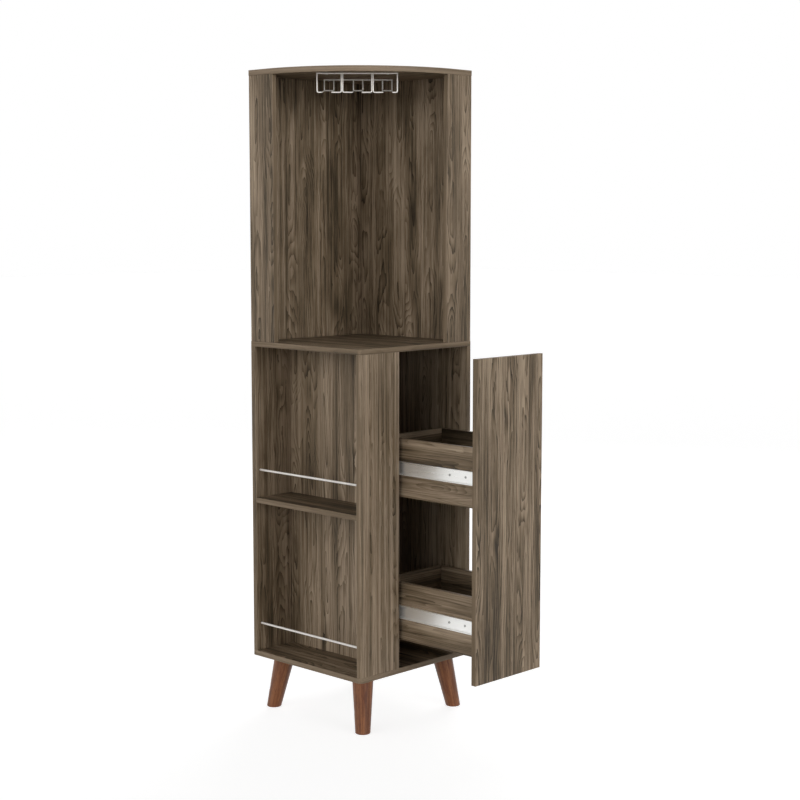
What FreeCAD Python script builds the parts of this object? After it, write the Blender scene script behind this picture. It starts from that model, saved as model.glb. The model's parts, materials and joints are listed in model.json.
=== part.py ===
import FreeCAD, Part
import Sketcher

import os
import re
from collections import defaultdict

from FreeCAD import Placement, Rotation, Vector

# Corner bar cabinet. Lengths are in millimetres. Positions are counted from the nearest
# front corner on the floor: u runs along the drawer side, v along the open-bay side and
# z upwards. The two room walls lie at u = side and v = side.
DRIVING = {
    # carcass
    "side": 435,
    "board": 15,
    "lower_clear": 869,
    "upper_clear": 731,
    "corner_radius": 14,
    "top_straight": 75,
    "arris": 0.8,
    "post_width": 148,
    "stile_width": 97,
    "stile_setback": 1,
    "shelf_level": 442,
    # gallery rails of the side bays
    "rail_radius": 3,
    "rail_rise": 77.5,
    "rail_setback": 17,
    "rail_seat": 8,
    # legs
    "leg_height": 150,
    "leg_top_radius": 29.5,
    "leg_foot_radius": 20.8,
    "leg_inset": 84,
    "leg_splay": 32.9,
    "leg_shift": 5,
    "foot_chamfer": 1.5,
    "bolt_radius": 4,
    "bolt_in_leg": 35,
    "insert_wall": 1.5,
    "insert_skin": 3,
    # dowels and cam fittings
    "dowel_radius": 4,
    "dowel_in_panel": 20,
    "dowel_skin": 5,
    "fitting_inset": 45,
    "fitting_pitch": 30,
    "stile_dowel_inset": 25,
    "shelf_dowel_inset": 32,
    "cam_radius": 7.5,
    "cam_skin": 3,
    "cam_offset": 34,
    "cam_bolt_radius": 3,
    "cam_slot_width": 2,
    "cam_slot_depth": 2.5,
    "bore_clearance": 0.05,
    # stemware rack, set out along the diagonal from the front corner
    "wire_radius": 1.8,
    "rack_inset": 55,
    "rack_rear_gap": 176,
    "rack_shift": -7,
    "rack_front_drop": 54,
    "rack_rear_drop": 33.5,
    "slot_width": 26.6,
    "slot_pitch": 82,
    "mouth_flare": 12.8,
    "wire_gap": 0.4,
    # pull-out unit
    "front_gap": 3.5,
    "front_rise": 3,
    "drawer_board": 12,
    "drawer_setback": 5,
    "drawer_height": 160,
    "upper_drawer_level": 473.5,
    "lower_drawer_level": 77,
    "bottom_sheet": 5,
    "groove_depth": 5,
    "groove_rise": 10,
    "groove_clearance": 0.1,
    "drawer_dowel_radius": 3,
    "drawer_dowel_inset": 30,
    # telescopic slides
    "slide_gap": 12.7,
    "slide_start": 2,
    "slide_rear_gap": 53,
    "slide_overlap": 74,
    "slide_sheet": 1.2,
    "cabinet_rail_height": 45,
    "cabinet_rail_gap": 2.2,
    "drawer_rail_gap": 3,
    "ball_radius": 1.6,
    "ball_clearance": 0.05,
    "cage_sheet": 1,
    "cage_width": 5,
    "cage_length": 60,
    # screws
    "screw_radius": 1.75,
    "head_radius": 3.4,
    "head_height": 1.5,
    "screw_skin": 2,
    "slide_screw_front": 30,
    "slide_screw_second": 86,
    "slide_screw_inset": 50,
    "back_screw_inset": 28,
}
BALLS_PER_ROW = 6
# A sketched rectangle starts as a square of this side, before its formulas set its width and depth.
ROUGH_SIDE = 100

# Sizes that follow from the driving ones.
DERIVED = {
    "bottom_top": "leg_height + board",
    "middle_under": "bottom_top + lower_clear",
    "middle_top": "middle_under + board",
    "top_under": "middle_top + upper_clear",
    "wall_face": "side - board",
    "top_radius": "side - top_straight",
    "bay_depth": "post_width - board",
    "stile_back": "stile_setback + board",
    "dowel_in_board": "board - dowel_skin",
    "dowel_length": "dowel_in_panel + dowel_in_board",
    "shelf_dowel": "2 * dowel_in_board",
    "lower_dowel_inset": "fitting_inset",
    "upper_dowel_inset": "fitting_inset + fitting_pitch",
    "lower_cam_inset": "fitting_inset + 2 * fitting_pitch",
    "upper_cam_inset": "fitting_inset + 3 * fitting_pitch",
    "shelf_under": "bottom_top + shelf_level - board",
    "cam_depth": "board - cam_skin",
    "leg_top_offset": "side / sqrt(2) - leg_inset",
    "leg_foot_offset": "leg_top_offset + leg_splay",
    "insert_length": "board - insert_skin",
    "insert_radius": "bolt_radius + insert_wall",
    "wire": "2 * wire_radius",
    "rack_front": "(sqrt(2) - 1) * top_radius + rack_inset",
    "rack_rear": "sqrt(2) * wall_face - rack_rear_gap",
    "front_rail_level": "top_under - rack_front_drop + wire_radius",
    "rear_rail_level": "top_under - rack_rear_drop + wire_radius",
    "slot_half": "slot_width / 2",
    "slot_inside": "slot_pitch - slot_half",
    "slot_outside": "slot_pitch + slot_half",
    "mouth_end": "slot_outside + mouth_flare",
    "mouth_outside": "slot_pitch / 2 + wire_radius + wire_gap / 2",
    "mouth_inside": "slot_pitch / 2 - wire_radius - wire_gap / 2",
    "slide_front": "board + slide_start",
    "slide_length": "wall_face - slide_front - slide_rear_gap",
    "slide_screw_rear": "slide_length - slide_screw_inset",
    "pull_out": "slide_length - slide_overlap",
    "front_width": "wall_face - post_width - 2 * front_gap",
    "front_height": "lower_clear - 2 * front_rise",
    "front_back": "board - pull_out",
    "drawer_depth": "slide_length - drawer_setback",
    "drawer_left": "post_width + slide_gap",
    "drawer_right": "wall_face - slide_gap",
    "drawer_inside": "drawer_right - drawer_left - 2 * drawer_board",
    "drawer_rear": "front_back + drawer_depth",
    "sheet_top": "groove_rise + bottom_sheet",
    "sheet_width": "drawer_inside + 2 * (groove_depth - groove_clearance)",
    "screw_grip": "drawer_board - screw_skin",
    "cabinet_rail_depth": "slide_gap - cabinet_rail_gap",
    "drawer_rail_depth": "slide_gap - drawer_rail_gap",
    "ball_space": "2 * (ball_radius + ball_clearance)",
    "drawer_rail_height": "cabinet_rail_height - 2 * slide_sheet - 2 * ball_space",
    "ball_row": "(drawer_rail_height + ball_space) / 2",
    "ball_lane": "(cabinet_rail_depth + drawer_rail_gap) / 2",
    "cage_start": "(slide_front + front_back + slide_length - cage_length) / 2",
}

doc = FreeCAD.newDocument("CornerBarCabinet")
sheet = doc.addObject("Spreadsheet::Sheet", "Sizes")
for row, (alias, size) in enumerate(DRIVING.items(), start=1):
    sheet.set(f"A{row}", alias.replace("_", " "))
    sheet.set(f"B{row}", str(size))
    sheet.setAlias(f"B{row}", alias)
doc.recompute()

nodes = {}
bores = defaultdict(list)


def formula(text):
    """Write a formula of size names as an expression on the sheet."""

    def reference(match):
        name = match.group()
        if name in DERIVED:
            return "(" + formula(DERIVED[name]) + ")"
        return "Sizes." + name if name in DRIVING else name

    return re.sub(r"[A-Za-z_]\w*", reference, text)


def bind(obj, **formulas):
    for prop, text in formulas.items():
        obj.setExpression(prop, formula(text))


def place(obj, u, v, z):
    """Put an object at cabinet coordinates, with the open cabinet centred on the origin."""
    obj.setExpression("Placement.Base.x", formula(f"({u}) - side / 2"))
    obj.setExpression("Placement.Base.y", formula(f"({v}) - (side - pull_out) / 2"))
    obj.setExpression("Placement.Base.z", formula(z))


def diagonal(away, right):
    """The u and v of a point at this distance from the front corner along and across the diagonal."""
    return f"(({away}) + ({right})) / sqrt(2)", f"(({away}) - ({right})) / sqrt(2)"


def edges_where(shape, test):
    return [f"Edge{i}" for i, edge in enumerate(shape.Edges, start=1) if test(edge.CenterOfMass)]


def arrises(shape):
    """The edges of the top and bottom faces, and the upright edges between flat faces."""
    box = shape.BoundBox

    def at_end(value, low, high):
        return min(abs(value - low), abs(value - high)) < 1e-6

    def is_arris(middle):
        level = at_end(middle.z, box.ZMin, box.ZMax)
        return level or at_end(middle.x, box.XMin, box.XMax) and at_end(middle.y, box.YMin, box.YMax)

    return edges_where(shape, is_arris)


def fillet(body, base, edges, radius):
    rounding = body.newObject("PartDesign::Fillet", base.Name + "_rounding")
    rounding.Base = (base, edges)
    bind(rounding, Radius=radius)
    doc.recompute()
    return rounding


def panel(label, size, position, corner=None):
    """A board with softened edges; corner gives the radius of its front upright corner."""
    body = doc.addObject("PartDesign::Body", label)
    sketch = body.newObject("Sketcher::SketchObject", label + "_outline")
    ground = next(plane for plane in body.Origin.OriginFeatures if plane.Role == "XY_Plane")
    sketch.AttachmentSupport = (ground, [""])
    sketch.MapMode = "FlatFace"
    corners = [Vector(0, 0), Vector(ROUGH_SIDE, 0), Vector(ROUGH_SIDE, ROUGH_SIDE), Vector(0, ROUGH_SIDE)]
    for i in range(4):
        sketch.addGeometry(Part.LineSegment(corners[i], corners[(i + 1) % 4]), False)
    for i in range(4):
        sketch.addConstraint(Sketcher.Constraint("Coincident", i, 2, (i + 1) % 4, 1))
        sketch.addConstraint(Sketcher.Constraint("Vertical" if i % 2 else "Horizontal", i))
    sketch.addConstraint(Sketcher.Constraint("Coincident", 0, 1, -1, 1))
    width = sketch.addConstraint(Sketcher.Constraint("DistanceX", 0, 1, 0, 2, ROUGH_SIDE))
    depth = sketch.addConstraint(Sketcher.Constraint("DistanceY", 1, 1, 1, 2, ROUGH_SIDE))
    sketch.setExpression(f"Constraints[{width}]", formula(size[0]))
    sketch.setExpression(f"Constraints[{depth}]", formula(size[1]))
    solid = body.newObject("PartDesign::Pad", label + "_pad")
    solid.Profile = sketch
    bind(solid, Length=size[2])
    doc.recompute()
    if corner:
        front = edges_where(solid.Shape, lambda middle: middle.x + middle.y < 1e-6)
        solid = fillet(body, solid, front, corner)
    fillet(body, solid, arrises(solid.Shape), "arris")
    place(body, *position)
    nodes[label] = body
    return body


TURN = {"u": Rotation(Vector(0, 1, 0), 90), "v": Rotation(Vector(1, 0, 0), -90), "z": Rotation()}


def rod(label, radius, length, along, position):
    """A round bar that starts at position and runs along u, v or z."""
    bar = doc.addObject("Part::Cylinder", label)
    bar.Placement = Placement(Vector(), TURN[along])
    bind(bar, Radius=radius, Height=length)
    place(bar, *position)
    return bar


def block(label, size, position):
    box = doc.addObject("Part::Box", label)
    bind(box, Length=size[0], Width=size[1], Height=size[2])
    place(box, *position)
    return box


def cut(label, base, tool):
    difference = doc.addObject("Part::Cut", label)
    difference.Base = base
    difference.Tool = tool
    return difference


def fuse(label, shapes):
    union = doc.addObject("Part::MultiFuse", label)
    union.Shapes = shapes
    return union


def group(label, solids):
    """Identical small pieces as separate solids of one node."""
    compound = doc.addObject("Part::Compound", label)
    compound.Links = solids
    nodes[label] = compound


def bore(label, radius, length, along, position, *owners):
    """A drilled hole, a little wider than its pin, cut later from each owner."""
    drill = rod(label + "_bore", f"{radius} + bore_clearance", length, along, position)
    for owner in owners:
        bores[owner].append(drill)


def pin(label, radius, length, along, position, *owners):
    """A pin together with the hole it fills in each owner."""
    bore(label, radius, length, along, position, *owners)
    return rod(label, radius, length, along, position)


def screw(label, along, toward, seat, centre, length, *owners):
    """A pan-head screw: seat is where its head rests, toward is +1 or -1 along its axis."""
    tip = seat if toward > 0 else f"{seat} - ({length})"
    head = f"{seat} - head_height" if toward > 0 else seat

    def at(start):
        return (start, *centre) if along == "u" else (*centre, start)

    bore(label, "screw_radius", length, along, at(tip), *owners)
    shank = rod(label + "_shank", "screw_radius", length, along, at(tip))
    cap = rod(label + "_head", "head_radius", "head_height", along, at(head))
    return fuse(label, [shank, cap])


# Boards
panel("bottom_board", ("side", "side", "board"), ("0", "0", "leg_height"), "corner_radius")
panel("middle_board", ("side", "side", "board"), ("0", "0", "middle_under"), "corner_radius")
panel("top_board", ("side", "side", "board"), ("0", "0", "top_under"), "top_radius")

# Uprights between the boards, each on two dowels per end; wall panels also have cams
LOWER = ("bottom_board", "bottom_top", "middle_board", "middle_under", "lower_clear")
UPPER = ("middle_board", "middle_top", "top_board", "top_under", "upper_clear")
dowels = []
cam_bolts = []
cam_discs = []


def fitting_offsets(length, inset, setback):
    """Where an upright's near and far fittings lie along it, if it starts this far from the front."""
    return {"near": f"{inset} - {setback}", "far": f"{length} - {inset}"}


def upright(label, tier, along, start, length, inset, setback="0", corner=None):
    base, foot, head_board, head, height = tier
    size = (length, "board", height) if along == "u" else ("board", length, height)
    panel(label, size, (*start, foot), corner)
    for end, offset in fitting_offsets(length, inset, setback).items():
        centre = middle_of(along, start, offset)
        low = (*centre, f"{foot} - dowel_in_board")
        high = (*centre, f"{head} - dowel_in_panel")
        name = f"{label}_{end}_dowel"
        dowels.append(pin(name + "_foot", "dowel_radius", "dowel_length", "z", low, base, label))
        dowels.append(pin(name + "_head", "dowel_radius", "dowel_length", "z", high, head_board, label))


def middle_of(along, start, offset):
    """The point of an upright's end at this offset along it, midway through its thickness."""
    u, v = start
    if along == "u":
        return f"{u} + {offset}", f"{v} + board / 2"
    return f"{u} + board / 2", f"{v} + {offset}"


def cams(label, tier, along, start, length, inset, setback="0"):
    """Cam fittings of a wall panel, let in from the face that stands against the wall."""
    base, foot, head_board, head, height = tier
    across = "v" if along == "u" else "u"
    bolt = "cam_offset - cam_radius + dowel_in_board"
    for end, offset in fitting_offsets(length, inset, setback).items():
        u, v = middle_of(along, start, offset)
        ends = (
            ("foot", base, f"{foot} - dowel_in_board", f"{foot} + cam_offset"),
            ("head", head_board, f"{head} - cam_offset + cam_radius", f"{head} - cam_offset"),
        )
        for name, board, bolt_start, level in ends:
            piece = f"{label}_{end}_{name}"
            cam_bolts.append(
                pin(piece + "_cam_bolt", "cam_bolt_radius", bolt, "z", (u, v, bolt_start), board, label)
            )
            mouth = (u, "side - cam_depth", level) if across == "v" else ("side - cam_depth", v, level)
            disc = pin(piece + "_cam", "cam_radius", "cam_depth", across, mouth, label)
            slot_at = (f"{u} - cam_slot_width / 2", "side - cam_slot_depth", f"{level} - cam_radius")
            slot_size = ("cam_slot_width", "cam_slot_depth", "2 * cam_radius")
            if across == "u":
                slot_at = ("side - cam_slot_depth", f"{v} - cam_slot_width / 2", f"{level} - cam_radius")
                slot_size = ("cam_slot_depth", "cam_slot_width", "2 * cam_radius")
            slot = block(piece + "_cam_slot", slot_size, slot_at)
            cam_discs.append(cut(piece + "_slotted_cam", disc, slot))


upright("lower_left_wall_panel", LOWER, "u", ("0", "wall_face"), "side", "lower_dowel_inset")
upright("lower_right_wall_panel", LOWER, "v", ("wall_face", "0"), "wall_face", "lower_dowel_inset")
upright("divider_panel", LOWER, "v", ("bay_depth", "board"), "(wall_face - board)", "lower_dowel_inset")
upright("corner_post", LOWER, "u", ("0", "0"), "post_width", "lower_dowel_inset",
        corner="min(corner_radius; board - 2 * arris)")
upright("upper_left_wall_panel", UPPER, "u", ("stile_back", "wall_face"), "(side - stile_back)",
        "upper_dowel_inset", "stile_back")
upright("upper_right_wall_panel", UPPER, "v", ("wall_face", "stile_back"), "(wall_face - stile_back)",
        "upper_dowel_inset", "stile_back")
upright("upper_left_stile", UPPER, "v", ("stile_setback", "side - stile_width"), "stile_width",
        "stile_dowel_inset")
upright("upper_right_stile", UPPER, "u", ("side - stile_width", "stile_setback"), "stile_width",
        "stile_dowel_inset")

cams("lower_left_wall_panel", LOWER, "u", ("0", "wall_face"), "side", "lower_cam_inset")
cams("lower_right_wall_panel", LOWER, "v", ("wall_face", "0"), "wall_face", "lower_cam_inset")
cams("upper_left_wall_panel", UPPER, "u", ("stile_back", "wall_face"), "(side - stile_back)",
     "upper_cam_inset", "stile_back")
cams("upper_right_wall_panel", UPPER, "v", ("wall_face", "stile_back"), "(wall_face - stile_back)",
     "upper_cam_inset", "stile_back")

# Side shelf, doweled into the wall panel and the post
panel("side_shelf", ("bay_depth", "wall_face - board", "board"), ("0", "board", "shelf_under"))
for name, owner, face in (("post", "corner_post", "board"), ("wall", "lower_left_wall_panel", "wall_face")):
    for end, u in (("front", "shelf_dowel_inset"), ("rear", "bay_depth - shelf_dowel_inset")):
        spot = (u, f"{face} - dowel_in_board", "shelf_under + board / 2")
        piece = f"side_shelf_{name}_{end}_dowel"
        dowels.append(pin(piece, "dowel_radius", "shelf_dowel", "v", spot, owner, "side_shelf"))

group("carcass_dowels", dowels)
group("cam_bolts", cam_bolts)
group("cam_discs", cam_discs)

# Gallery rails, let into the wall panel and the post
for label, base in (("upper_gallery_rail", "shelf_under + board"), ("lower_gallery_rail", "bottom_top")):
    spot = ("rail_setback", "board - rail_seat", f"{base} + rail_rise")
    length = "wall_face - board + 2 * rail_seat"
    nodes[label] = pin(label, "rail_radius", length, "v", spot, "corner_post", "lower_left_wall_panel")


def ring(label, radius, away, right, z):
    circle = doc.addObject("Part::Circle", label)
    bind(circle, Radius=radius)
    place(circle, *diagonal(away, right), z)
    return circle


def loft(label, sections):
    skin = doc.addObject("Part::Loft", label)
    skin.Sections = sections
    skin.Solid = True
    skin.Ruled = True
    return skin


# Splayed legs: round sections that taper towards the foot
bolts = []
inserts = []


def leg(label, away, right):
    """A leg on the diagonal; away and right are -1, 0 or 1 from the middle of the floor plan."""

    def out(offset):
        return f"side / sqrt(2) + {away} * {offset}", f"{right} * {offset} + leg_shift"

    sections = [
        ring(label + "_foot", "leg_foot_radius - foot_chamfer", *out("leg_foot_offset"), "0"),
        ring(label + "_rim", "leg_foot_radius", *out("leg_foot_offset"), "foot_chamfer"),
        ring(label + "_top", "leg_top_radius", *out("leg_top_offset"), "leg_height"),
    ]
    nodes[label] = loft(label + "_turned", sections)
    centre = diagonal(*out("leg_top_offset"))
    stem = (*centre, "leg_height - bolt_in_leg")
    socket = (*centre, "leg_height")
    bolts.append(pin(label + "_bolt", "bolt_radius", "bolt_in_leg + insert_length", "z", stem, label))
    sleeve = pin(label + "_insert", "insert_radius", "insert_length", "z", socket, "bottom_board")
    thread = rod(label + "_thread", "bolt_radius + bore_clearance", "insert_length", "z", socket)
    inserts.append(cut(label + "_sleeve", sleeve, thread))


leg("front_leg", -1, 0)
leg("left_leg", 0, -1)
leg("right_leg", 0, 1)
leg("rear_leg", 1, 0)
group("leg_bolts", bolts)
group("leg_inserts", inserts)

# Stemware rack: two wires across under the top board and drops from them. At the front each drop
# turns sideways into a foot, which leads to the slot's rail; a stop closes the slot at the rear
ACROSS = Rotation(Vector(0, 0, 1), Vector(1, -1, 0))
INWARD = Rotation(Vector(0, 0, 1), Vector(1, 1, 0))


def cross_wire(label, away, left, right, level):
    """A wire across the diagonal, from left to right of it."""
    wire = doc.addObject("Part::Cylinder", label)
    wire.Placement = Placement(Vector(), ACROSS)
    bind(wire, Radius="wire_radius", Height=f"({right}) - ({left})")
    place(wire, *diagonal(away, left), level)
    return wire


def board_wire(label, half, away):
    left, right = f"rack_shift - {half} - wire_radius", f"rack_shift + {half} + wire_radius"
    nodes[label] = cross_wire(label, away, left, right, "top_under - wire_radius")


def drop(label, away, right, level):
    stem = doc.addObject("Part::Cylinder", label)
    bind(stem, Radius="wire_radius", Height=f"top_under - wire - {level} + wire_radius")
    place(stem, *diagonal(away, right), f"{level} - wire_radius")
    return stem


board_wire("rack_front_wire", "mouth_end", "rack_front")
board_wire("rack_rear_wire", "slot_outside", "rack_rear")
# Each rail's front drop, its slot edge, and the two ends of the foot between them
RAILS = {
    "outer": ("mouth_end", "slot_outside", "slot_outside - wire_radius", "mouth_end - wire_radius"),
    "inner": ("mouth_outside", "slot_inside", "mouth_outside + wire_radius", "slot_inside + wire_radius"),
    "middle": ("mouth_inside", "slot_half", "slot_half - wire_radius", "mouth_inside - wire_radius"),
}
front_drops = []
front_feet = []
rear_drops = []
rails = []
for hand, sign in (("left", "-"), ("right", "+")):
    for name, (mouth, edge, near, far) in RAILS.items():
        piece = f"rack_{hand}_{name}"
        mouth, edge, near, far = (f"rack_shift {sign} ({right})" for right in (mouth, edge, near, far))
        left_end, right_end = (near, far) if hand == "right" else (far, near)
        front_drops.append(drop(piece + "_front_drop", "rack_front", mouth, "front_rail_level"))
        front_feet.append(cross_wire(piece + "_foot", "rack_front", left_end, right_end, "front_rail_level"))
        rear_drops.append(drop(piece + "_rear_drop", "rack_rear", edge, "rear_rail_level"))
        ends = (
            ("head", "rack_front + wire_radius", "front_rail_level"),
            ("tail", "rack_rear - wire_radius", "rear_rail_level"),
        )
        hoops = []
        for end, away, level in ends:
            hoop = ring(f"{piece}_{end}", "wire_radius", away, edge, level)
            hoop.Placement = Placement(hoop.Placement.Base, INWARD)
            hoops.append(hoop)
        rails.append(loft(piece + "_rail", hoops))
SLOTS = {
    "left": ("-slot_outside", "-slot_inside"),
    "middle": ("-slot_half", "slot_half"),
    "right": ("slot_inside", "slot_outside"),
}
stops = []
for slot, (left, right) in SLOTS.items():
    ends = f"rack_shift + ({left}) + wire_radius", f"rack_shift + ({right}) - wire_radius"
    stops.append(cross_wire(f"rack_{slot}_stop", "rack_rear", *ends, "rear_rail_level"))
group("rack_stops", stops)
group("rack_front_drops", front_drops)
group("rack_front_feet", front_feet)
group("rack_rear_drops", rear_drops)
group("rack_rails", rails)

# Screws beside the rack's cross wires: each head clamps the wire to the board
rack_screws = []
for wire, away in (("front", "rack_front"), ("rear", "rack_rear")):
    for hand, sign in (("left", "-"), ("right", "+")):
        centre = diagonal(f"{away} + wire_radius + screw_radius", f"rack_shift {sign} slot_pitch")
        rack_screws.append(
            screw(f"rack_{wire}_{hand}_screw", "z", 1, "top_under - wire", centre,
                  "wire + dowel_in_board", "top_board")
        )
group("rack_screws", rack_screws)

# Pull-out unit: one tall front with two boxes behind it
panel("drawer_front", ("front_width", "board", "front_height"),
      ("post_width + front_gap", "-pull_out", "bottom_top + front_rise"))
drawer_dowels = []
back_screws = []
cabinet_screws = []
drawer_screws = []
SLIDE_SCREWS = ("slide_screw_front", "slide_screw_second", "slide_screw_rear")


def drawer_side(drawer, hand, level):
    """A box side with the groove of the bottom sheet, doweled to the front."""
    label = f"{drawer}_drawer_{hand}_side"
    left = hand == "left"
    u = "drawer_left" if left else "drawer_right - drawer_board"
    panel(label, ("drawer_board", "drawer_depth", "drawer_height"), (u, "front_back", level))
    groove_u = f"{u} + drawer_board - groove_depth" if left else u
    groove_size = ("groove_depth", "drawer_depth", "bottom_sheet + 2 * groove_clearance")
    groove_at = (groove_u, "front_back", f"{level} + groove_rise - groove_clearance")
    bores[label].append(block(label + "_groove", groove_size, groove_at))
    middle = f"{u} + drawer_board / 2"
    for end, rise in (("low", "drawer_dowel_inset"), ("high", "drawer_height - drawer_dowel_inset")):
        spot = (middle, "front_back - dowel_in_board", f"{level} + {rise}")
        piece = f"{label}_{end}_dowel"
        drawer_dowels.append(
            pin(piece, "drawer_dowel_radius", "dowel_length", "v", spot, "drawer_front", label)
        )


def drawer_back(drawer, level):
    label = f"{drawer}_drawer_back"
    panel(label, ("drawer_inside", "drawer_board", "drawer_height - sheet_top - groove_clearance"),
          ("drawer_left + drawer_board", "drawer_rear - drawer_board",
           f"{level} + sheet_top + groove_clearance"))
    rises = {"low": "sheet_top + back_screw_inset", "high": "drawer_height - back_screw_inset"}
    for hand, toward, face in (("left", 1, "drawer_left"), ("right", -1, "drawer_right")):
        for end, rise in rises.items():
            centre = ("drawer_rear - drawer_board / 2", f"{level} + {rise}")
            back_screws.append(
                screw(f"{label}_{hand}_{end}_screw", "u", toward, face, centre,
                      "drawer_board + screw_grip", label, f"{drawer}_drawer_{hand}_side")
            )


def drawer_bottom(drawer, level):
    panel(f"{drawer}_drawer_bottom", ("sheet_width", "drawer_depth", "bottom_sheet"),
          ("drawer_left + drawer_board - groove_depth + groove_clearance", "front_back",
           f"{level} + groove_rise"))


def channel(label, depth, height, start, u, open_to_right, axis_level):
    """A folded sheet channel along v, open on one side."""
    low = f"{axis_level} - {height} / 2"
    outside = block(label + "_outside", (depth, "slide_length", height), (u, start, low))
    hollow_u = f"{u} + slide_sheet" if open_to_right else u
    hollow_size = (f"{depth} - slide_sheet", "slide_length", f"{height} - 2 * slide_sheet")
    hollow = block(label + "_hollow", hollow_size, (hollow_u, start, f"{low} + slide_sheet"))
    nodes[label] = cut(label + "_folded", outside, hollow)


def ball_cage(label, lane, axis_level):
    """Two rows of balls, each in its retainer strip, between the nested channels."""
    rows = []
    for row, sign in (("low", "-"), ("high", "+")):
        z = f"{axis_level} {sign} ball_row"
        strip_at = (f"{lane} - cage_width / 2", "cage_start", f"{z} - cage_sheet / 2")
        pieces = [block(f"{label}_{row}_strip", ("cage_width", "cage_length", "cage_sheet"), strip_at)]
        for count in range(BALLS_PER_ROW):
            ball = doc.addObject("Part::Sphere", f"{label}_{row}_ball_{count}")
            bind(ball, Radius="ball_radius")
            share = (count + 0.5) / BALLS_PER_ROW
            place(ball, lane, f"cage_start + {share} * cage_length", z)
            pieces.append(ball)
        rows.append(fuse(f"{label}_{row}_row", pieces))
    group(label, rows)


def slide(drawer, hand, level):
    """A telescopic slide: cabinet rail, ball cage and drawer rail, with their screws."""
    axis_level = f"({level} + drawer_height / 2)"
    cabinet = f"{drawer}_{hand}_slide_cabinet_rail"
    moving = f"{drawer}_{hand}_slide_drawer_rail"
    box_side = f"{drawer}_drawer_{hand}_side"
    if hand == "left":
        wall, way = "divider_panel", 1
        cabinet_u, moving_u = "post_width", "drawer_left - drawer_rail_depth"
        lane = "post_width + ball_lane"
        wall_seat, box_seat = "post_width + slide_sheet", "drawer_left - slide_sheet"
    else:
        wall, way = "lower_right_wall_panel", -1
        cabinet_u, moving_u = "wall_face - cabinet_rail_depth", "drawer_right"
        lane = "wall_face - ball_lane"
        wall_seat, box_seat = "wall_face - slide_sheet", "drawer_right + slide_sheet"
    channel(cabinet, "cabinet_rail_depth", "cabinet_rail_height", "slide_front", cabinet_u, way > 0,
            axis_level)
    channel(moving, "drawer_rail_depth", "drawer_rail_height", "front_back", moving_u, way < 0,
            axis_level)
    ball_cage(f"{drawer}_{hand}_slide_ball_cage", lane, axis_level)
    length = "slide_sheet + screw_grip"
    for count, distance in enumerate(SLIDE_SCREWS):
        name = f"{drawer}_{hand}_slide_screw_{count}"
        wall_spot = (f"slide_front + {distance}", axis_level)
        box_spot = (f"front_back + {distance}", axis_level)
        cabinet_screws.append(screw(name + "_wall", "u", -way, wall_seat, wall_spot, length, cabinet, wall))
        drawer_screws.append(screw(name + "_box", "u", way, box_seat, box_spot, length, moving, box_side))


for drawer, rise in (("upper", "upper_drawer_level"), ("lower", "lower_drawer_level")):
    level = f"(bottom_top + {rise})"
    for hand in ("left", "right"):
        drawer_side(drawer, hand, level)
    drawer_back(drawer, level)
    drawer_bottom(drawer, level)
    for hand in ("left", "right"):
        slide(drawer, hand, level)
group("drawer_dowels", drawer_dowels)
group("drawer_back_screws", back_screws)
group("slide_cabinet_screws", cabinet_screws)
group("slide_drawer_screws", drawer_screws)

# Drill each piece with the holes of the pins and screws that enter it
for label, drills in bores.items():
    blank = nodes[label]
    blank.Label = label + "_blank"
    tool = doc.addObject("Part::Compound", label + "_drills")
    tool.Links = drills
    nodes[label] = cut(label + "_drilled", blank, tool)
for label, node in nodes.items():
    node.Label = label

doc.recompute()
for obj in doc.Objects:
    if "Invalid" in obj.State or "Error" in obj.State:
        raise RuntimeError(f"{obj.Label} failed: {obj.State}")
for label, node in nodes.items():
    if node.Shape.isNull() or not node.Shape.isValid():
        raise RuntimeError(f"{label} has no valid shape")

os.makedirs("parts", exist_ok=True)
for label, node in nodes.items():
    node.Shape.exportStep(f"parts/{label}.step")
    print(label, len(node.Shape.Solids), round(node.Shape.Volume))
print(len(nodes), "nodes")
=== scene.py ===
import json
import math

import bmesh
import bpy
from mathutils import Matrix, Vector


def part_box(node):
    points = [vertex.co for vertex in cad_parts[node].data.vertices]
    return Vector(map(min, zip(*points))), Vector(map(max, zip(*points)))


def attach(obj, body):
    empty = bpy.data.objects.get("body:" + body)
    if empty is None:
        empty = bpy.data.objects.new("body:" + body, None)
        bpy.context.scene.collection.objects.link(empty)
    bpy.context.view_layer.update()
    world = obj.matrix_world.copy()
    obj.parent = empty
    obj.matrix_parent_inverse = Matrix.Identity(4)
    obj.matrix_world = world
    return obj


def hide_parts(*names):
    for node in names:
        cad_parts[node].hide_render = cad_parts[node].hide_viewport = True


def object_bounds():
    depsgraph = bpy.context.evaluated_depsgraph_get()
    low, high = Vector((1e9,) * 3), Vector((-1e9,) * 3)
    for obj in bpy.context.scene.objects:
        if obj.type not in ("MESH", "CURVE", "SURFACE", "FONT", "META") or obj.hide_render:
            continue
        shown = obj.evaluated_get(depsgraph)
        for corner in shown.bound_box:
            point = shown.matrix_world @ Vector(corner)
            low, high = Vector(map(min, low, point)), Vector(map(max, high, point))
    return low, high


# The frame is in metres: x runs along the drawer side, y along the open-bay side, z is up.
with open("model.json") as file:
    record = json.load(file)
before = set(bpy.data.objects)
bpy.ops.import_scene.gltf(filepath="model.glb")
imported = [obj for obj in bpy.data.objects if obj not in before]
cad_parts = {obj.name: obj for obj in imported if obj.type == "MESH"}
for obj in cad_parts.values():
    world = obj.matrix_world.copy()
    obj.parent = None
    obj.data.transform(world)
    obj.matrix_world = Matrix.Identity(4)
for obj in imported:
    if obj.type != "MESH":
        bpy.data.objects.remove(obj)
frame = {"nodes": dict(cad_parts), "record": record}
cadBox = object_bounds()
mm = 0.001
weld = 0.005 * mm  # corners nearer than this are one
print("frame loaded:", len(frame["nodes"]), "nodes")


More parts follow.
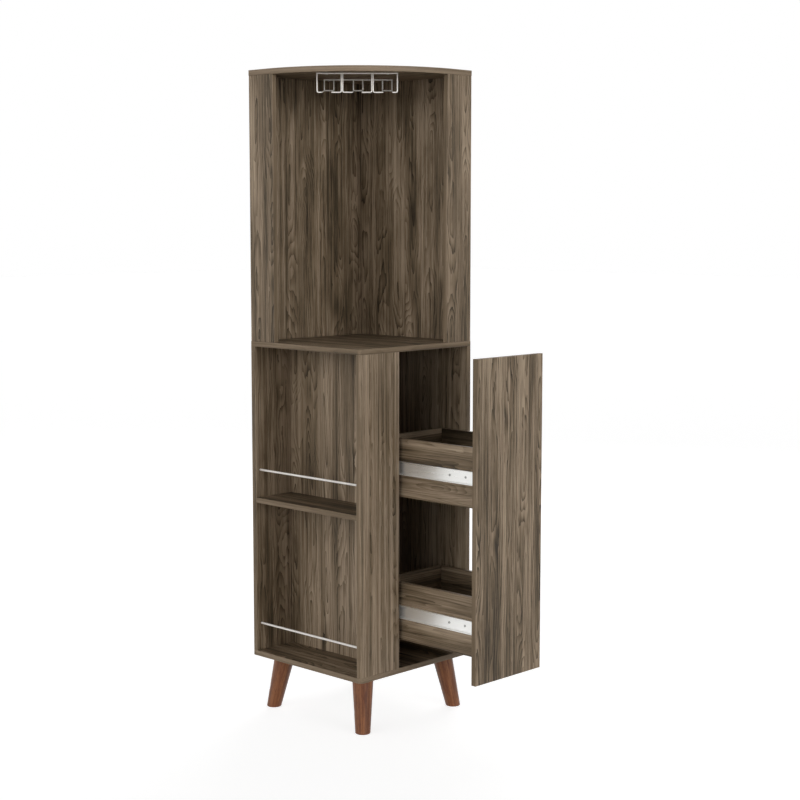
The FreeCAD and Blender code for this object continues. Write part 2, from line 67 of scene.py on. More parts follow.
def linear(hexColour):
    # from sRGB as written to the linear light that shaders take
    parts = [int(hexColour[i:i + 2], 16) / 255 for i in (1, 3, 5)]
    return [p / 12.92 if p <= 0.04045 else ((p + 0.055) / 1.055) ** 2.4 for p in parts] + [1]


def setInputs(node, inputs):
    # inputs go by name, or by order in a list; a node given as an input means its first live output
    pairs = inputs.items() if isinstance(inputs, dict) else enumerate(inputs)
    for place, value in pairs:
        if isinstance(value, bpy.types.Node):
            value = next(socket for socket in value.outputs if socket.enabled)
        if isinstance(value, bpy.types.NodeSocket):
            node.id_data.links.new(value, node.inputs[place])
        else:
            node.inputs[place].default_value = value


def addNode(tree, kind, inputs=(), **settings):
    made = tree.nodes.new("ShaderNode" + kind)
    for name, value in settings.items():
        setattr(made, name, value)
    setInputs(made, inputs)
    return made


def newMaterial(name, constants):
    material = bpy.data.materials.new(name)
    material.use_nodes = True
    shader = material.node_tree.nodes["Principled BSDF"]
    setInputs(shader, constants)
    return material, material.node_tree, shader


def dress(nodeName, material):
    slots = frame["nodes"][nodeName].data.materials
    slots.clear()
    slots.append(material)


def pointInMm(tree):
    coords = addNode(tree, "TexCoord")
    return addNode(tree, "VectorMath", {0: coords.outputs["Object"], "Scale": 1 / mm}, operation="SCALE")


def streaks(tree, point, size, detail=2):
    # soft marks of a real size, in millimetres along x, y and z
    spread = addNode(tree, "VectorMath", [point, size], operation="DIVIDE")
    return addNode(tree, "TexNoise", {"Vector": spread, "Scale": 1, "Detail": detail})


# Walnut-effect melamine laminate on chipboard: a matt printed decor with flame figures set in
# straight grain, low contrast, and edges closed with a strip whose grain runs along them.
# Widths and lengths are in millimetres, across and along the grain.
laminate = {
    # from the darkest line to the palest wood
    "shades": ((0.0, "#2a1f13"), (0.28, "#4e4231"), (0.5, "#72614c"), (0.74, "#907e69"), (1.0, "#a99780")),
    "heartSpacing": 62,  # from one flame figure to the next
    "heartWander": (130, 800, 40),  # width, length and reach of a wave
    "ringSpacing": 6.5,
    "ringDepth": (80, 400, 72),  # how the figure opens and closes along the grain
    "ringDrift": (170, 1500, 9),  # the reach of this and the next is in rings
    "ringJitter": (10, 60, 1.1),
    "ringFade": (14, 150),
    "lateWood": 2.2,  # the power that narrows a ring's dark side
    "faintRing": 0.2,  # the weakest ring's share of the strongest
    "ringDark": 1.3,
    "coreReach": (3, 12),  # the dark heart of a flame is full within the first and gone by the second
    "coreFade": (20, 60),
    "coreDark": 0.36,
    "tone": 0.75,
    "bands": (42, 600, 1.4),  # width, length and strength of each layer of streaks
    "stripes": (9, 700, 1.25),
    "clouds": (24, 150, 0.8),
    "fibre": (2.4, 70, 0.45),  # drawn some five times coarser than real, so that it shows
    "pores": (1.1, 16, 0.1),  # coarser than real too
    "poreLimits": (0.6, 0.7),  # the noise at which a pore begins and is full
    "middleTone": 0.6,  # what a board's contrast swings about
    "edgeLean": 0.6,  # cosine to the board's own face, under which a face is an edge
    "edgeContrast": 0.55,
    "edgeFlames": 0.2,  # a strip shows little of the figure
    "edgeLift": -0.13,
    "roughness": (0.46, 0.62),
    "emboss": 0.06,  # depth of the pressed grain
    "embossStrength": 0.25,
    "shine": 0.3,  # a matt overlay that returns little of the light
    "sheetStep": (437, 7.3, 1291),  # from one board's place on the printed sheet to the next's
}
# A board's cut says where it differs from the plain one, and the way its grain runs.
plainCut = {
    "across": 1.0,  # size of the figure across and along the grain
    "along": 1.0,
    "flames": 1.0,  # strength of the figure and of each layer of streaks
    "bands": 1.0,
    "stripes": 1.0,
    "clouds": 0.3,
    "contrast": 1.0,  # of the whole
    "toneAndPaintedLight": 0.0,  # how much paler the board is: its own tone, and on some boards painted shade or painted light
}
softFlames = {"across": 1.05, "along": 0.85, "flames": 0.8, "bands": 0.7, "clouds": 0.8, "contrast": 0.86}
quietCut = {"along": 1.5, "flames": 0.5, "clouds": 0.7, "contrast": 0.9, "toneAndPaintedLight": -0.15}
boards = {
    # painted shade: bottom_board, middle_board and side_shelf are darker where their tops sit in shade, and
    # the niche's upper wall panels and lower_left_wall_panel are darker where their walls sit in shade;
    # painted light: lower_right_wall_panel is paler for its lit inner face
    "bottom_board": {"grain": "Y", "toneAndPaintedLight": -0.05},
    "middle_board": {"grain": "Y", "toneAndPaintedLight": -0.17},
    "top_board": {"grain": "Y", "toneAndPaintedLight": -0.03},
    "side_shelf": {"grain": "Y", "toneAndPaintedLight": -0.2},
    "lower_left_wall_panel": {"grain": "Z", **softFlames, "toneAndPaintedLight": -0.12},
    "lower_right_wall_panel": {"grain": "Z", **softFlames, "toneAndPaintedLight": 0.08},
    "upper_left_wall_panel": {"grain": "Z", **softFlames, "toneAndPaintedLight": -0.18},
    "upper_right_wall_panel": {"grain": "Z", **softFlames, "toneAndPaintedLight": -0.07},
    "upper_left_stile": {"grain": "Z", "contrast": 0.8, "toneAndPaintedLight": -0.08},
    "upper_right_stile": {"grain": "Z", "contrast": 0.92},
    "divider_panel": {"grain": "Z", "contrast": 0.75, "toneAndPaintedLight": -0.07},
    "corner_post": {
        "grain": "Z", "across": 0.7, "flames": 0.5, "bands": 0.35, "contrast": 1.05, "toneAndPaintedLight": -0.02},
    "drawer_front": {"grain": "Z", "flames": 0.9, "contrast": 1.13, "toneAndPaintedLight": -0.02},
}
for level in ("upper", "lower"):
    for member, grain in (("left_side", "Y"), ("right_side", "Y"), ("back", "X")):
        boards[f"{level}_drawer_{member}"] = {"grain": grain, **quietCut}


def sheetPoint(tree, board, cut, count):
    # where a spot lies on the printed sheet, x across the grain and z along it, and if it is on an edge
    low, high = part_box(board)
    sides = high - low
    thin = min(range(3), key=lambda axis: sides[axis])
    along = "XYZ".index(cut["grain"])
    across = 3 - thin - along  # the axis that is left of 0, 1 and 2
    axes = Matrix.Identity(3)
    point = pointInMm(tree)
    normal = addNode(tree, "TexCoord").outputs["Normal"]
    squareTo = addNode(tree, "VectorMath", [normal, axes[thin]], operation="DOT_PRODUCT")
    facing = addNode(tree, "Math", [squareTo], operation="ABSOLUTE")
    isEdge = addNode(tree, "Math", [facing, laminate["edgeLean"]], operation="LESS_THAN")
    # a face takes the board's own directions, and an edge runs along itself
    edgeWay = addNode(tree, "VectorMath", [normal, axes[thin]], operation="CROSS_PRODUCT")
    spots = []
    for sideways, lengthways in ((axes[across], axes[along]), (axes[thin], edgeWay)):
        x = addNode(tree, "VectorMath", [point, sideways], operation="DOT_PRODUCT")
        z = addNode(tree, "VectorMath", [point, lengthways], operation="DOT_PRODUCT")
        spots.append(addNode(tree, "CombineXYZ", {"X": x, "Z": z}))
    face, edge = spots
    either = addNode(tree, "Mix", {"Factor": isEdge, "A": face, "B": edge}, data_type="VECTOR")
    # every board is cut from another place of the sheet
    sheetPlace = [count * step for step in laminate["sheetStep"]]
    onSheet = addNode(tree, "VectorMath", [either, sheetPlace], operation="ADD")
    figureSize = (cut["across"], 1, cut["along"])
    return addNode(tree, "VectorMath", [onSheet, figureSize], operation="DIVIDE"), isEdge


def grainNoise(tree, point, layer, detail=2):
    width, length = laminate[layer][:2]
    return streaks(tree, point, (width, 1, length), detail)


def growthRings(tree, point, isEdge):
    # rings cut at a slant: flames where their centre comes near the face, lines elsewhere
    wander = grainNoise(tree, point, "heartWander")
    sideways = addNode(tree, "SeparateXYZ", [point]).outputs["X"]
    reach = laminate["heartWander"][2]
    sideways = addNode(tree, "Math", [wander, reach, sideways], operation="MULTIPLY_ADD")
    fromHeart = addNode(tree, "Math", [sideways, laminate["heartSpacing"] / 2], operation="PINGPONG")
    depth = grainNoise(tree, point, "ringDepth", detail=1)
    reach = laminate["ringDepth"][2]
    depth = addNode(tree, "Math", [depth, 2 * reach, -reach], operation="MULTIPLY_ADD")
    toCentre = addNode(tree, "CombineXYZ", [fromHeart, depth])
    radius = addNode(tree, "VectorMath", [toCentre], operation="LENGTH")
    rings = addNode(tree, "Math", [radius, laminate["ringSpacing"]], operation="DIVIDE")
    for layer in ("ringDrift", "ringJitter"):
        shift = grainNoise(tree, point, layer)
        rings = addNode(tree, "Math", [shift, laminate[layer][2], rings], operation="MULTIPLY_ADD")
    lateWood = addNode(tree, "Math", [rings], operation="FRACT")
    lateWood = addNode(tree, "Math", [lateWood, laminate["lateWood"]], operation="POWER")
    # no two rings are equally dark
    ringCount = addNode(tree, "Math", [rings], operation="FLOOR")
    share = addNode(tree, "TexWhiteNoise", {"W": ringCount}, noise_dimensions="1D")
    faint = laminate["faintRing"]
    share = addNode(tree, "Math", [share, 1 - faint, faint], operation="MULTIPLY_ADD")
    edgeShare = addNode(tree, "Math", [isEdge, laminate["edgeFlames"] - 1, 1], operation="MULTIPLY_ADD")
    for factor in (share, edgeShare, grainNoise(tree, point, "ringFade")):
        lateWood = addNode(tree, "Math", [lateWood, factor], operation="MULTIPLY")
    full, gone = laminate["coreReach"]
    core = addNode(tree, "MapRange", {"Value": radius, "From Min": gone, "From Max": full})
    for factor in (edgeShare, grainNoise(tree, point, "coreFade")):
        core = addNode(tree, "Math", [core, factor], operation="MULTIPLY")
    return lateWood, core


def laminateFor(board, cut, count):
    constants = {"Specular IOR Level": laminate["shine"]}
    material, tree, shader = newMaterial("walnut_laminate_" + board, constants)
    point, isEdge = sheetPoint(tree, board, cut, count)
    lateWood, core = growthRings(tree, point, isEdge)
    # layers of streaks, then the figure, fibre and pores
    tone = laminate["tone"]
    for layer in ("bands", "stripes", "clouds"):
        strength = laminate[layer][2] * cut[layer]
        swing = grainNoise(tree, point, layer, detail=3)
        swing = addNode(tree, "Math", [swing, strength, -strength / 2], operation="MULTIPLY_ADD")
        tone = addNode(tree, "Math", [tone, swing], operation="ADD")
    for figure, dark in ((lateWood, laminate["ringDark"]), (core, laminate["coreDark"])):
        tone = addNode(tree, "Math", [figure, -dark * cut["flames"], tone], operation="MULTIPLY_ADD")
    fibre = grainNoise(tree, point, "fibre")
    strength = laminate["fibre"][2]
    swing = addNode(tree, "Math", [fibre, strength, -strength / 2], operation="MULTIPLY_ADD")
    tone = addNode(tree, "Math", [tone, swing], operation="ADD")
    begin, full = laminate["poreLimits"]
    pores = grainNoise(tree, point, "pores", detail=1)
    pores = addNode(tree, "MapRange", {"Value": pores, "From Min": begin, "From Max": full})
    tone = addNode(tree, "Math", [pores, -laminate["pores"][2], tone], operation="MULTIPLY_ADD")
    # the face keeps its cut's contrast and tone shift, which is painted shade on the boards in the niche and
    # the bays and painted light on the lower right wall panel, and the edge strip is calmer and darker
    looks = []
    for contrast, toneAndPaintedLight in ((cut["contrast"], cut["toneAndPaintedLight"]), (laminate["edgeContrast"], laminate["edgeLift"])):
        base = laminate["middleTone"] * (1 - contrast) + toneAndPaintedLight
        looks.append(addNode(tree, "Math", [tone, contrast, base], operation="MULTIPLY_ADD"))
    face, edge = looks
    tone = addNode(tree, "Mix", {"Factor": isEdge, "A": face, "B": edge})
    colour = addNode(tree, "ValToRGB", [tone])
    stops = colour.color_ramp.elements
    for spot, shade in laminate["shades"][1:-1]:
        stops.new(spot)
    for stop, (spot, shade) in zip(stops, laminate["shades"]):
        stop.color = linear(shade)
    smooth, rough = laminate["roughness"]
    gloss = addNode(tree, "MapRange", {"Value": fibre, "To Min": smooth, "To Max": rough})
    height = addNode(tree, "Math", [fibre, pores], operation="SUBTRACT")
    relief = addNode(tree, "Bump", {"Height": height, "Strength": laminate["embossStrength"],
                                    "Distance": laminate["emboss"] * mm})
    setInputs(shader, {"Base Color": colour, "Roughness": gloss, "Normal": relief})
    return material


for count, (board, cut) in enumerate(boards.items(), start=1):
    dress(board, laminateFor(board, {**plainCut, **cut}, count))
print("laminate on", len(boards), "boards")

# Finishes of the small parts. Each has marks of a real size, drawn out along the way it was worked,
# and goes from a rough dull shade to a smooth bright one. Marks that are finer than about half a
# millimetre on the real surface are drawn coarser, so that they show.
finishes = {
    # nickel-plated wire: bright along its whole length, a painted reflection given partly as plain pale
    # colour
    "bright_wire": {
        "shades": ("#e8e3dc", "#f6f2ec"), "marks": (3, 3, 40), "roughness": (0.36, 0.26), "metal": 0.2},
    # zinc-plated folded sheet: pale, softly reflecting, rolled lengthwise
    "slide_steel": {
        "shades": ("#ececea", "#f8f8f5"), "marks": (4, 220, 1.2), "roughness": (0.33, 0.27), "metal": 0.78},
    # hardened balls in a pressed strip: darker and glossier than the rails
    "ball_steel": {
        "shades": ("#8f9193", "#b4b6b8"), "marks": (2, 12, 2), "roughness": (0.24, 0.12), "metal": 1},
    # zinc-plated screws and bolts: a slightly cloudy plating
    "zinc_steel": {
        "shades": ("#a9aaa8", "#cfcfcb"), "marks": (1.5, 1.5, 1.5), "roughness": (0.4, 0.22), "metal": 1},
    # die-cast zinc: dull grey with a grainy skin
    "zinc_casting": {
        "shades": ("#85868a", "#a5a6a9"), "marks": (0.8, 0.8, 0.8), "roughness": (0.6, 0.42), "metal": 1},
    # turned brass: fine rings round the axis
    "brass": {
        "shades": ("#a5854c", "#c9a765"), "marks": (9, 9, 0.5), "roughness": (0.34, 0.2), "metal": 1},
    # fluted beech dowels: pale, with short flecks
    "dowel_wood": {
        "shades": ("#b8935f", "#d9b98a"), "marks": (1.2, 1.2, 14), "roughness": (0.75, 0.6), "metal": 0},
    # hardboard with a printed face: a brown felted mottle
    "hardboard": {
        "shades": ("#83745f", "#a08f79"), "marks": (5, 9, 5), "roughness": (0.75, 0.6), "metal": 0},
}
markSpan = (0.3, 0.7)  # the noise at which a mark is at its dullest and its brightest


def finishFor(name, finish):
    material, tree, shader = newMaterial(name, {"Metallic": finish["metal"]})
    marks = streaks(tree, pointInMm(tree), finish["marks"], detail=3)
    dull, bright = [linear(shade) for shade in finish["shades"]]
    colour = addNode(tree, "Mix", {"Factor": marks, "A": dull, "B": bright}, data_type="RGBA")
    dullest, brightest = markSpan
    rough, smooth = finish["roughness"]
    gloss = addNode(tree, "MapRange", {"Value": marks, "From Min": dullest, "From Max": brightest,
                                       "To Min": rough, "To Max": smooth})
    setInputs(shader, {"Base Color": colour, "Roughness": gloss})
    return material


finishOf = {slot: finishFor(slot, finish) for slot, finish in finishes.items()}
slotOf = {part["node"]: part["material_slot"] for part in frame["record"]["subparts"]}
for nodeName, slot in slotOf.items():
    if slot in finishOf:
        dress(nodeName, finishOf[slot])
print("finishes:", len(finishOf))

# Turned hardwood legs under a red-brown stain and satin lacquer: grain runs down the leg, the stain
# sits darker in the late wood, and the lacquer gives a soft sheen. Sizes are in millimetres.
legWood = {
    "shades": ("#36190a", "#62351c", "#8a5632"),
    "rings": (7, 150),  # width and length
    "ringLimits": (0.32, 0.62),  # the noise at which the wood is at its darkest and its palest
    "pores": (1.2, 14),  # drawn some five times wider than real, so that they show
    "poreLimits": (0.56, 0.7),
    "poreDark": 0.55,
    "poreDepth": 0.05,
    "poreStrength": 0.3,
    "roughness": 0.36,
    "coat": 0.06,
    "coatRoughness": 0.25,
    "shine": 0.3,
    "billetStep": 211,  # from one leg's place in the timber to the next's
    "endDepth": 2,  # corners this near to an end give the leg's lean
}


def legLean(leg):
    low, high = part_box(leg)
    depth = legWood["endDepth"] * mm
    points = [vert.co for vert in frame["nodes"][leg].data.vertices]
    foot = [point for point in points if point.z < low.z + depth]
    head = [point for point in points if point.z > high.z - depth]
    return sum(head, Vector()) / len(head) - sum(foot, Vector()) / len(foot)


def legFinish(leg, count):
    material, tree, shader = newMaterial("stained_leg_" + leg, {
        "Roughness": legWood["roughness"],
        "Coat Weight": legWood["coat"],
        "Coat Roughness": legWood["coatRoughness"],
        "Specular IOR Level": legWood["shine"],
    })
    turn = legLean(leg).rotation_difference(Vector((0, 0, 1))).to_euler()
    # every leg is turned from another place of the timber, with its grain along its lean
    timberPlace = (count * legWood["billetStep"], 0, 0)
    upright = addNode(tree, "Mapping", {"Vector": pointInMm(tree), "Rotation": turn,
                                        "Location": timberPlace})
    width, length = legWood["rings"]
    rings = streaks(tree, upright, (width, width, length), detail=3)
    darkest, palest = legWood["ringLimits"]
    rings = addNode(tree, "MapRange", {"Value": rings, "From Min": darkest, "From Max": palest})
    width, length = legWood["pores"]
    pores = streaks(tree, upright, (width, width, length), detail=1)
    begin, full = legWood["poreLimits"]
    pores = addNode(tree, "MapRange", {"Value": pores, "From Min": begin, "From Max": full,
                                       "To Max": legWood["poreDark"]})
    dark, middle, pale = [linear(shade) for shade in legWood["shades"]]
    wood = addNode(tree, "Mix", {"Factor": rings, "A": middle, "B": pale}, data_type="RGBA")
    colour = addNode(tree, "Mix", {"Factor": pores, "A": wood, "B": dark}, data_type="RGBA")
    relief = addNode(tree, "Bump", {"Height": pores, "Strength": legWood["poreStrength"],
                                    "Distance": legWood["poreDepth"] * mm}, invert=True)
    setInputs(shader, {"Base Color": colour, "Normal": relief})
    return material


for count, leg in enumerate(("front_leg", "left_leg", "right_leg", "rear_leg"), start=1):
    dress(leg, legFinish(leg, count))
print("legs stained")


def addPiece(name, shape, body, slot, *replaced):
    mesh = bpy.data.meshes.new(name)
    shape.to_mesh(mesh)
    shape.free()
    piece = bpy.data.objects.new(name, mesh)
    bpy.context.scene.collection.objects.link(piece)
    mesh.materials.append(finishOf[slot])
    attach(piece, body)
    if replaced:
        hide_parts(*replaced)
    return piece


def looseParts(nodeName):
    # the corners of each loose solid of a node, as lists of points
    shape = bmesh.new()
    shape.from_mesh(frame["nodes"][nodeName].data)
    bmesh.ops.remove_doubles(shape, verts=shape.verts[:], dist=weld)
    taken = set()
    parts = []
    for first in shape.verts:
        if first in taken:
            continue
        taken.add(first)
        found = [first]
        for vert in found:  # the list grows as neighbours are found
            near = [edge.other_vert(vert) for edge in vert.link_edges]
            fresh = [other for other in near if other not in taken]
            taken.update(fresh)
            found.extend(fresh)
        parts.append([vert.co.copy() for vert in found])
    shape.free()
    return parts


def boxOf(points):
    low = Vector([min(point[axis] for point in points) for axis in range(3)])
    high = Vector([max(point[axis] for point in points) for axis in range(3)])
    return low, high


# Slotted rack: bent wires hung under the top board. Each slot is one wire: down at the front, across
# to the slot's edge, back along it, across the rear end as a stop and forward again on the other edge.
rackWire = {
    "bend": 4.5 * mm,  # radius along the middle of the wire
    "rearBend": 4 * mm,
    "sides": 6,  # resolution round the wire and along each arc
    "steps": 6,
}


def bentWire(name, corners, bends, radius):
    # a round bar along straight runs, with an arc of its own radius at each inner corner
    curve = bpy.data.curves.new(name, "CURVE")
    curve.dimensions = "3D"
    curve.bevel_depth = radius
    curve.bevel_resolution = rackWire["sides"]
    curve.resolution_u = rackWire["steps"]
    curve.use_fill_caps = True
    stops = [(corners[0], None, None)]  # a place, and the arc's handle before or after it
    for before, corner, after, bend in zip(corners, corners[1:], corners[2:], bends):
        back = (before - corner).normalized()
        ahead = (after - corner).normalized()
        turn = math.pi - back.angle(ahead)
        reach = bend * math.tan(turn / 2)
        pull = bend * 4 / 3 * math.tan(turn / 4)  # the handle that makes a cubic span an arc
        stops.append((corner + back * reach, None, corner + back * (reach - pull)))
        stops.append((corner + ahead * reach, corner + ahead * (reach - pull), None))
    stops.append((corners[-1], None, None))
    knots = curve.splines.new("BEZIER").bezier_points
    knots.add(len(stops) - 1)
    for knot, (place, before, after) in zip(knots, stops):
        knot.co = place
        knot.handle_left_type = "FREE" if before else "VECTOR"
        knot.handle_right_type = "FREE" if after else "VECTOR"
    for knot, (place, before, after) in zip(knots, stops):
        if before:
            knot.handle_left = before
        if after:
            knot.handle_right = after
    draft = bpy.data.objects.new(name + "_path", curve)
    bpy.context.scene.collection.objects.link(draft)
    bpy.context.view_layer.update()
    mesh = bpy.data.meshes.new_from_object(draft.evaluated_get(bpy.context.evaluated_depsgraph_get()))
    bpy.data.objects.remove(draft)
    shape = bmesh.new()
    shape.from_mesh(mesh)
    bpy.data.meshes.remove(mesh)
    bmesh.ops.remove_doubles(shape, verts=shape.verts[:], dist=weld)
    bmesh.ops.recalc_face_normals(shape, faces=shape.faces[:])
    for face in shape.faces:
        face.smooth = len(face.verts) == 4  # the caps stay flat
    return shape


def buildRack():
    across = Vector((1, -1, 0)).normalized()  # square to the slots, which run to the room's corner

    def dropsOf(nodeName):
        boxes = [boxOf(part) for part in looseParts(nodeName)]
        return sorted(boxes, key=lambda box: box[0].dot(across))

    fronts = dropsOf("rack_front_drops")
    rears = dropsOf("rack_rear_drops")
    low, high = fronts[0]
    radius = (high.x - low.x) / 2
    bend, rearBend = rackWire["bend"], rackWire["rearBend"]
    bends = [bend, bend, rearBend, rearBend, bend, bend]
    for count, slotName in enumerate(("left", "middle", "right")):
        pair = slice(2 * count, 2 * count + 2)
        sides = []
        for front, rear in zip(fronts[pair], rears[pair]):
            head = (front[0] + front[1]) / 2
            tail = (rear[0] + rear[1]) / 2
            foot = head.copy()
            head.z = front[1].z + radius
            foot.z = front[0].z + radius
            tail.z = rear[0].z + radius
            slotEdge = foot + across * (tail - foot).dot(across)
            sides.append([head, foot, slotEdge, tail])
        shape = bentWire("rack_slot", sides[0] + sides[1][::-1], bends, radius)
        replaced = ()
        if slotName == "middle":  # the three wires stand for these together, and one of them says so
            replaced = ("rack_front_drops", "rack_front_feet", "rack_rails", "rack_stops")
        addPiece(f"rack_{slotName}_slot_wire", shape, "carcass", "bright_wire", *replaced)


buildRack()
print("rack bent")

# Slides: folded rails with rounded bends, in place of the plain channels.
foldedSheet = {
    "thickness": 1.2 * mm,
    "bend": 2.2 * mm,  # outer radius of a fold
    "bendSteps": 5,
    "sharpAngle": 40,  # degrees, past which an edge stays crisp
}


def foldedRail(nodeName):
    low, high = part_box(nodeName)
    webLow = ("left" in nodeName) == ("cabinet" in nodeName)  # the web lies on the board that carries it
    web, tip = (low.x, high.x) if webLow else (high.x, low.x)
    shape = bmesh.new()
    outline = [(tip, low.z), (web, low.z), (web, high.z), (tip, high.z)]
    verts = [shape.verts.new((x, low.y, z)) for x, z in outline]
    edges = [shape.edges.new(pair) for pair in zip(verts, verts[1:])]
    swept = bmesh.ops.extrude_edge_only(shape, edges=edges)["geom"]
    moved = [part for part in swept if isinstance(part, bmesh.types.BMVert)]
    bmesh.ops.translate(shape, verts=moved, vec=(0, high.y - low.y, 0))
    folds = [edge for edge in shape.edges if len(edge.link_faces) == 2]
    bmesh.ops.bevel(shape, geom=folds, offset=foldedSheet["bend"], offset_type="OFFSET",
                    segments=foldedSheet["bendSteps"], profile=0.5, affect="EDGES", material=-1)
    # the faces look out of the channel, so that the sheet thickens into it
    bmesh.ops.recalc_face_normals(shape, faces=shape.faces[:])
    widest = max(shape.faces, key=lambda face: face.calc_area())
    if widest.normal.dot(widest.calc_center_median() - (low + high) / 2) < 0:
        bmesh.ops.reverse_faces(shape, faces=shape.faces[:])
    bmesh.ops.solidify(shape, geom=shape.faces[:], thickness=foldedSheet["thickness"])
    bmesh.ops.recalc_face_normals(shape, faces=shape.faces[:])
    for face in shape.faces:
        face.smooth = True
    body = "carcass" if "cabinet" in nodeName else "pullout"
    rail = addPiece("folded_" + nodeName, shape, body, "slide_steel", nodeName)
    rail.data.set_sharp_from_angle(angle=math.radians(foldedSheet["sharpAngle"]))


for level in ("upper", "lower"):
    for hand in ("left", "right"):
        for member in ("cabinet_rail", "drawer_rail"):
            foldedRail(f"{level}_{hand}_slide_{member}")
print("slides folded")

# Pan-head screws with a cross recess, in place of the plain ones.
panHead = {
    "sides": 24,
    # from the rim to the crown: depth under the top by the head's height, reach by its radius
    "profile": ((0.45, 1.0), (0.15, 0.9), (0.0, 0.66)),
    "recessShare": 0.58,  # of the head's radius, from its middle to the end of an arm
    "armShare": 0.17,  # half an arm's width, by the same radius
    "recessDepth": 1.1 * mm,
    "recessLimit": 0.8,  # the deepest, by the head's height
    "recessTaper": 0.55,  # the recess's floor by its mouth
    "pointLength": 1.2,  # by the shank's radius
    "pointShare": 0.3,  # the blunt end, by the same radius
    "endSlack": 0.05 * mm,  # corners this near to an end belong to it
    "sharpAngle": 35,
}


def measureScrew(points):
    # the head's top and the way it looks, the radii of head and shank, the head's height, the length
    low, high = boxOf(points)
    sides = high - low
    axis = max(range(3), key=lambda i: sides[i])
    others = [i for i in range(3) if i != axis]
    middle = (low + high) / 2

    def reach(point):
        return math.hypot(*(point[i] - middle[i] for i in others))

    def reachAt(end):
        return max(reach(point) for point in points if abs(point[axis] - end) < panHead["endSlack"])

    headEnd, tipEnd = sorted((low[axis], high[axis]), key=reachAt, reverse=True)
    head = reachAt(headEnd)
    shank = reachAt(tipEnd)
    height = max(abs(point[axis] - headEnd) for point in points if reach(point) > (head + shank) / 2)
    top = middle.copy()
    top[axis] = headEnd
    return top, (top - middle).normalized(), head, shank, height, sides[axis]


def panScrew(shape, points):
    top, outward, head, shank, height, length = measureScrew(points)
    start = len(shape.verts)
    rim = bmesh.ops.create_circle(shape, segments=panHead["sides"], radius=head)["verts"]
    bmesh.ops.translate(shape, verts=rim, vec=(0, 0, -height))
    rimEdges = list(dict.fromkeys(edge for vert in rim for edge in vert.link_edges))  # each edge once

    def grow(edges, level, share):
        swept = bmesh.ops.extrude_edge_only(shape, edges=edges)["geom"]
        verts = [part for part in swept if isinstance(part, bmesh.types.BMVert)]
        for vert in verts:
            vert.co.z = level
        bmesh.ops.scale(shape, verts=verts, vec=(share, share, 1))
        return [part for part in swept if isinstance(part, bmesh.types.BMEdge)]

    crown = rimEdges
    reached = 1.0
    for depth, share in panHead["profile"]:
        crown = grow(crown, -height * depth, share / reached)
        reached = share
    arm = head * panHead["recessShare"]
    half = head * panHead["armShare"]
    cross = []
    for quarter in range(4):
        turn = Matrix.Rotation(quarter * math.pi / 2, 3, "Z")
        for spot in ((arm, half, 0), (half, half, 0), (half, arm, 0)):
            cross.append(shape.verts.new(turn @ Vector(spot)))
    recess = [shape.edges.new(pair) for pair in zip(cross, cross[1:] + cross[:1])]
    bmesh.ops.bridge_loops(shape, edges=crown + recess)
    recessDepth = min(panHead["recessDepth"], height * panHead["recessLimit"])
    floor = grow(recess, -recessDepth, panHead["recessTaper"])
    bmesh.ops.edgeloop_fill(shape, edges=floor)
    neck = grow(rimEdges, -height, shank / head)
    point = grow(neck, -length + shank * panHead["pointLength"], 1)
    tip = grow(point, -length, panHead["pointShare"])
    bmesh.ops.edgeloop_fill(shape, edges=tip)
    shape.verts.index_update()
    shape.verts.ensure_lookup_table()
    turn = outward.to_track_quat("Z", "Y").to_matrix().to_4x4()
    bmesh.ops.transform(shape, matrix=Matrix.Translation(top) @ turn, verts=shape.verts[start:])


def buildScrews(nodeName, body):
    shape = bmesh.new()
    parts = looseParts(nodeName)
    for points in parts:
        panScrew(shape, points)
    bmesh.ops.recalc_face_normals(shape, faces=shape.faces[:])
    for face in shape.faces:
        face.smooth = True
    piece = addPiece("cross_" + nodeName, shape, body, "zinc_steel", nodeName)
    piece.data.set_sharp_from_angle(angle=math.radians(panHead["sharpAngle"]))
    print(nodeName, len(parts))


for nodeName, body in (("rack_screws", "carcass"), ("slide_cabinet_screws", "carcass"),
                       ("slide_drawer_screws", "pullout"), ("drawer_back_screws", "pullout")):
    buildScrews(nodeName, body)

# The camera stands where the photograph was taken from.
viewpoint = {
    "place": (-3.2112, -3.1379, 1.3950),
    "forward": (0.71243, 0.69288, -0.11114),
    "lens": 73.79,
    "sensor": 36.0,
}
camera = bpy.data.objects.new("camera", bpy.data.cameras.new("camera"))
camera.data.lens = viewpoint["lens"]
camera.data.sensor_width = viewpoint["sensor"]
camera.location = viewpoint["place"]
camera.rotation_mode = "QUATERNION"
camera.rotation_quaternion = Vector(viewpoint["forward"]).to_track_quat("-Z", "Y")
bpy.context.scene.collection.objects.link(camera)
bpy.context.scene.camera = camera
print("camera placed")

# Studio: a pale floor that shows as white, and soft light from the sky and a softbox.
studio = {
    "floorReach": 30.0,
    "floorColour": "#bababa",
    "floorRoughness": 0.9,
    "floorGlow": 0.79,  # only for rays that show the floor itself
    "white": (1, 1, 1, 1),
    "skyLight": 0.28,
    # a low light about square to each open side: azimuth and elevation in degrees, strength at its middle
    # and the cosine of the angle at which it has faded
    "fronts": {
        "drawerSide": (-4, 8, 7.4, 0.9),
        "baySide": (-93, 8, 3.75, 0.7),
    },
    "overhead": (0.12, 0.65, 0.24),  # the sky fades between these heights to this share of its light
    # softboxes: azimuth and elevation of the direction they come from, distance, side and power
    "softboxes": {
        "back": (120, 30, 4.5, 3.0, 72),
    },
}


def wayTo(azimuth, elevation):
    around = math.radians(azimuth)
    up = math.radians(elevation)
    return Vector((math.sin(around) * math.cos(up), -math.cos(around) * math.cos(up), math.sin(up)))


def seenRays(tree):
    # 1 for rays that show the background itself: straight to the camera, mirrored or seen through
    rays = addNode(tree, "LightPath").outputs
    seen = rays["Is Camera Ray"]
    for kind in ("Is Glossy Ray", "Is Transmission Ray"):
        seen = addNode(tree, "Math", [seen, rays[kind]], operation="MAXIMUM")
    return seen


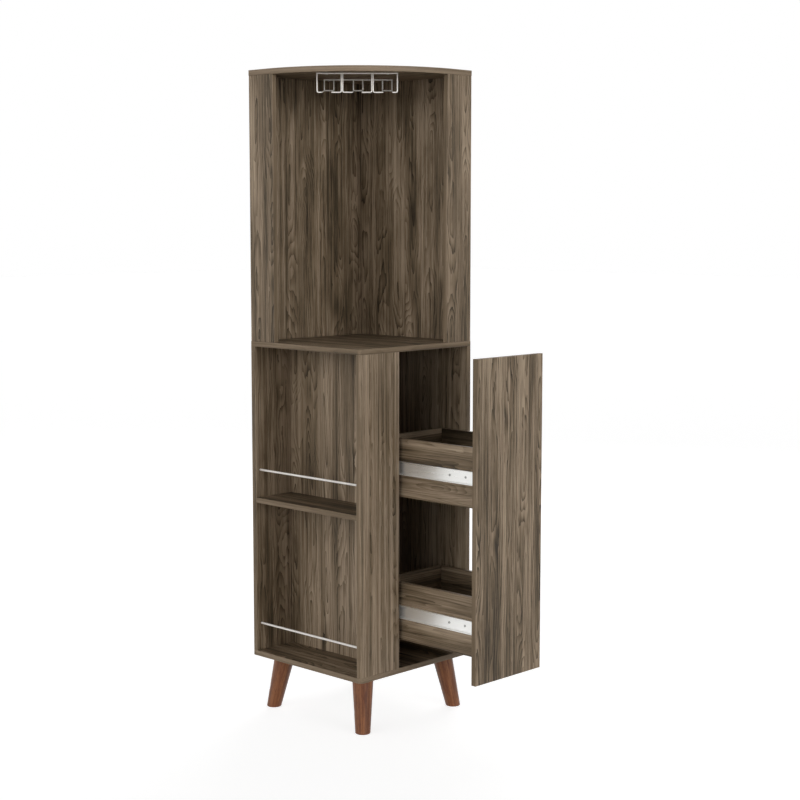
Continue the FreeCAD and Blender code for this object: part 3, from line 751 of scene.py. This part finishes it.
def buildFloor():
    mesh = bpy.data.meshes.new("studio_floor")
    shape = bmesh.new()
    bmesh.ops.create_grid(shape, x_segments=1, y_segments=1, size=studio["floorReach"])
    shape.to_mesh(mesh)
    shape.free()
    floor = bpy.data.objects.new("studio_floor", mesh)
    bpy.context.scene.collection.objects.link(floor)
    material, tree, shader = newMaterial("studio_floor_paint", {
        "Base Color": linear(studio["floorColour"]),
        "Roughness": studio["floorRoughness"],
        "Emission Color": studio["white"],
    })
    glow = addNode(tree, "Math", [seenRays(tree), studio["floorGlow"]], operation="MULTIPLY")
    setInputs(shader, {"Emission Strength": glow})
    mesh.materials.append(material)


def buildSky():
    world = bpy.data.worlds.new("studio_sky")
    bpy.context.scene.world = world
    world.use_nodes = True
    tree = world.node_tree
    way = addNode(tree, "TexCoord").outputs["Generated"]
    light = studio["skyLight"]
    for azimuth, elevation, power, edge in studio["fronts"].values():
        facing = addNode(tree, "VectorMath", [way, wayTo(azimuth, elevation)], operation="DOT_PRODUCT")
        glow = addNode(tree, "MapRange", {"Value": facing, "From Min": edge, "To Max": power})
        light = addNode(tree, "Math", [light, glow], operation="ADD")
    height = addNode(tree, "SeparateXYZ", [way]).outputs["Z"]
    fadeFrom, fadeTo, share = studio["overhead"]
    fade = addNode(tree, "MapRange", {"Value": height, "From Min": fadeFrom, "From Max": fadeTo,
                                      "To Min": 1, "To Max": share})
    light = addNode(tree, "Math", [light, fade], operation="MULTIPLY")
    strength = addNode(tree, "Mix", {"Factor": seenRays(tree), "A": light, "B": 1})
    setInputs(tree.nodes["Background"], {"Color": studio["white"], "Strength": strength})


def buildSoftboxes():
    middle = (cadBox[0] + cadBox[1]) / 2
    for name, (azimuth, elevation, distance, side, power) in studio["softboxes"].items():
        way = wayTo(azimuth, elevation)
        lamp = bpy.data.lights.new(name + "_softbox", "AREA")
        lamp.energy = power
        lamp.size = side
        softbox = bpy.data.objects.new(name + "_softbox", lamp)
        softbox.location = middle + way * distance
        softbox.rotation_mode = "QUATERNION"
        softbox.rotation_quaternion = way.to_track_quat("Z", "Y")
        softbox.visible_camera = False
        bpy.context.scene.collection.objects.link(softbox)


buildFloor()
buildSky()
buildSoftboxes()
bpy.context.scene.view_settings.view_transform = "Standard"
print("studio ready")
